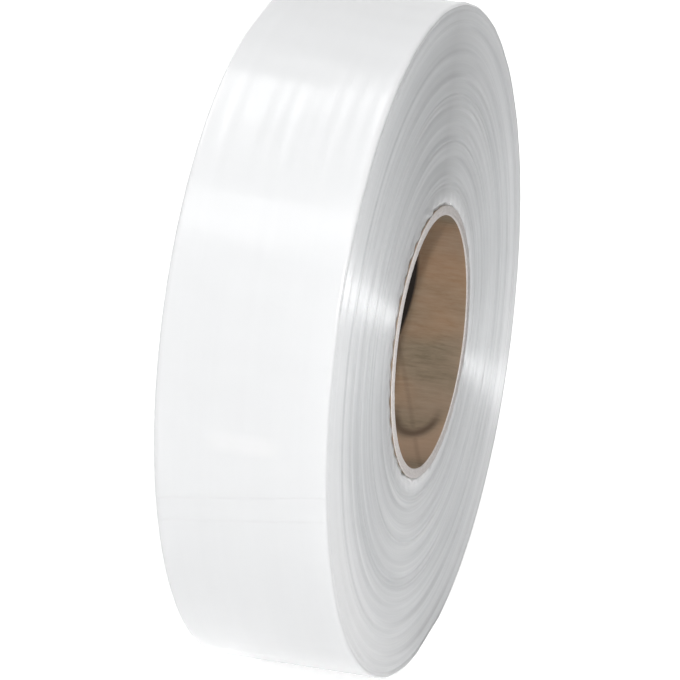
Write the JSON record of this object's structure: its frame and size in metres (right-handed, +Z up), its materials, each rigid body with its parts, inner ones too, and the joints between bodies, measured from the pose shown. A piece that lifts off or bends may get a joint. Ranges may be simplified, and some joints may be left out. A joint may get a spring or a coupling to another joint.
{
  "type": "roll of poly tubing",
  "caption": "Roll of clear lay-flat polyethylene tubing wound on a paperboard core, cut to length and sealed to make bags of any length.",
  "frame": {"origin": "centre of the core's bore, at the middle of the roll's width", "axes": "+Y along the roll's axis, away from the end that faces the camera; +Z up, so the roll stands on its rim"},
  "size_m": [0.2028, 0.052, 0.2021],
  "materials": {
    "core_board": "raw kraft paperboard, matt, with a faint spiral seam",
    "poly_film": "clear film that looks milky white in the roll, soft gloss on the rim and a fine grey satin on the wound ends"
  },
  "bodies": {
    "root": {"paperboard_core": "core_board", "tubing_winding": "poly_film"}
  },
  "joints": []
}
